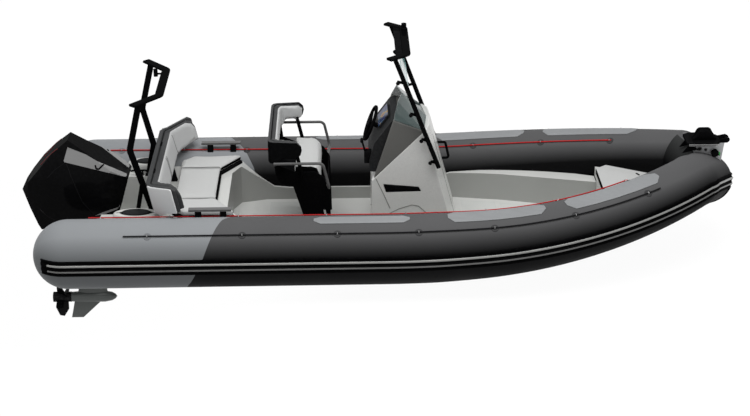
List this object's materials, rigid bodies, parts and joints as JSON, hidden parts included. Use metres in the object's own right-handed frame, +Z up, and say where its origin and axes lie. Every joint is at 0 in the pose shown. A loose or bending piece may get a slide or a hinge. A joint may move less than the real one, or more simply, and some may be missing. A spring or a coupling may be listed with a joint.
{
  "type": "rigid inflatable boat",
  "caption": "Rigid inflatable boat: deep-vee hull with an inflated collar, centre console, helm seat, aft bench, two masts and an outboard engine.",
  "frame": {"origin": "on the waterline and the centre plane, at the aft face of the transom top", "axes": "+X towards the bow, +Y to port, +Z up"},
  "size_m": [6.7345, 2.59, 2.8735],
  "materials": {
    "tube_dark": "matt coated fabric, charcoal",
    "tube_light": "matt coated fabric, light grey",
    "black_rubber": "black moulded rubber",
    "pad_grey": "ribbed grey step rubber",
    "bright_strip": "silver-grey strip",
    "red_line": "braided line, red",
    "black_line": "braided line, black",
    "hull_white": "gelcoat",
    "liner_grey": "gelcoat, light grey",
    "dark_plastic": "dark moulded plastic",
    "black_plastic": "black moulded plastic",
    "light_vinyl": "light grey vinyl",
    "white_vinyl": "white vinyl",
    "grey_tube": "powder-coated tube",
    "grey_metal": "anodised",
    "smoked_glass": "smoked acrylic",
    "clear_pane": "clear acrylic",
    "screen": "black instrument glass",
    "lens": "coloured lens",
    "cowl_black": "gloss black",
    "engine_grey": "dark grey enamel",
    "steel": "stainless steel",
    "block": "engine block"
  },
  "bodies": {
    "boat": {"hull_shell": "hull_white", "cockpit_liner": "liner_grey", "collar_aft_port": "tube_light", "collar_aft_starboard": "tube_light", "collar_forward": "tube_dark", "rub_rail": "black_rubber", "rail_strips": "bright_strip", "collar_pads": "pad_grey", "grab_lines_inner": "red_line", "grab_lines_outer": "black_line", "line_eyelets": "black_rubber", "deck_hatches": "dark_plastic", "bench_boards": "black_plastic", "bench_cushions": "white_vinyl", "bench_back_shell": "dark_plastic", "bench_back_pad": "light_vinyl", "bench_back_posts": "liner_grey", "grab_handles": "grey_tube", "mast_legs": "grey_tube", "mast_head": "grey_tube", "mast_lamp": "black_plastic", "console_shell": "liner_grey", "console_cap": "dark_plastic", "dashboard": "black_plastic", "display": "screen", "steering_column": "black_plastic", "throttle": "black_plastic", "windscreen": "smoked_glass", "console_frame": "grey_tube", "upper_pane": "clear_pane", "nav_lamp": "black_plastic", "console_handle": "black_plastic", "seat_frame": "dark_plastic", "seat_cushion": "white_vinyl", "seat_back_shell": "black_plastic", "seat_back_pads": "light_vinyl", "seat_struts": "black_plastic", "seat_rails": "grey_metal", "bow_locker": "liner_grey", "bow_bracket": "grey_metal", "bow_platform": "black_plastic", "bow_lamps": "black_plastic", "bow_lenses": "lens", "stem_strip": "black_rubber", "clamp_bracket": "engine_grey"},
    "tilt_bracket": {"swivel_bracket": "engine_grey"},
    "engine": {"midsection": "engine_grey", "engine_cowl": "cowl_black", "powerhead": "block"},
    "screw": {"propeller": "steel"},
    "helm_wheel": {"steering_wheel": "black_plastic"},
    "locker_lid": {"bow_lid": "white_vinyl"},
    "anchor_roller": {"bow_roller": "black_rubber"}
  },
  "joints": [
    {"name": "engine_tilt", "type": "hinge", "parent": "boat", "child": "tilt_bracket", "pos_m": [-0.02, 0, 0.345], "axis": [0, 1, 0], "range_deg": [-4, 45]},
    {"name": "engine_steer", "type": "hinge", "parent": "tilt_bracket", "child": "engine", "pos_m": [-0.11, 0, 0.2], "axis": [0, 0, 1], "range_deg": [-30, 30]},
    {"name": "propeller_spin", "type": "hinge", "parent": "engine", "child": "screw", "pos_m": [-0.5, 0, -0.515], "axis": [1, 0, 0], "continuous": true},
    {"name": "steering_wheel_turn", "type": "hinge", "parent": "boat", "child": "helm_wheel", "pos_m": [2.505, 0, 1.262], "axis": [-0.9336, 0, 0.3584], "range_deg": [-540, 540]},
    {"name": "bow_lid_hinge", "type": "hinge", "parent": "boat", "child": "locker_lid", "pos_m": [5.262, 0, 0.617], "axis": [0, 1, 0], "range_deg": [0, 75]},
    {"name": "bow_roller_spin", "type": "hinge", "parent": "boat", "child": "anchor_roller", "pos_m": [5.862, 0, 1.058], "axis": [0, 1, 0], "continuous": true}
  ],
  "couplings": [
    {"joint": "steering_wheel_turn", "follows": "engine_steer", "ratio": -18}
  ]
}
